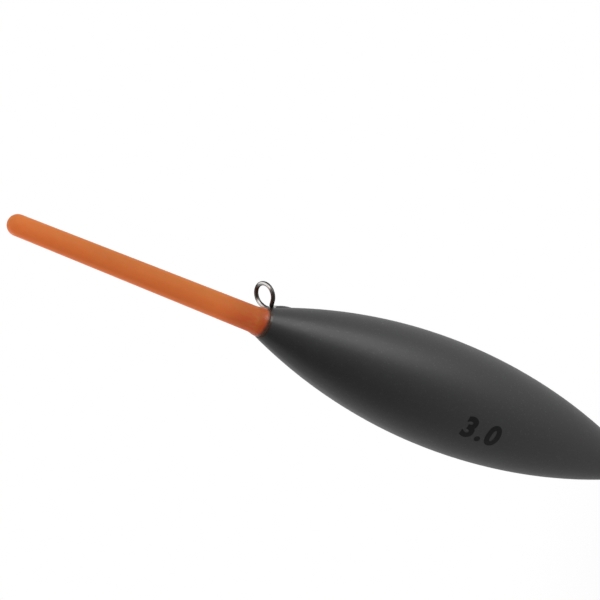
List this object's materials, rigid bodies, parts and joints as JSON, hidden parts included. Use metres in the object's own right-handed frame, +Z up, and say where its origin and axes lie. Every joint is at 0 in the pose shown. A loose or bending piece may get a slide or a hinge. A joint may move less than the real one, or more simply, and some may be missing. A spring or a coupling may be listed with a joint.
{
  "type": "bobber float",
  "caption": "River fishing float: spindle body on a through stem, hollow antenna above, twisted wire line eye at the shoulder.",
  "frame": {"origin": "on the float's axis, where the bare stem enters the lower end of the body", "axes": "+Z up the axis to the antenna, -Z down the stem, +X towards the line eye"},
  "size_m": [0.0131, 0.013, 0.1686],
  "materials": {
    "foam": "hard closed-cell float foam, turned and sanded",
    "body_lacquer": "satin charcoal lacquer",
    "carbon": "ground pultruded carbon rod",
    "clear_glue": "cured clear glue",
    "antenna_plastic": "translucent fluorescent orange moulding",
    "joint_glue": "clear glue over the orange antenna",
    "steel_wire": "bright drawn stainless wire"
  },
  "bodies": {
    "root": {"body_core": "foam", "body_lacquer": "body_lacquer", "stem": "carbon", "stem_tip_seal": "clear_glue", "tail_glue": "clear_glue", "antenna": "antenna_plastic", "joint_bead": "joint_glue", "line_eye": "steel_wire", "eye_resin": "body_lacquer"}
  },
  "joints": []
}
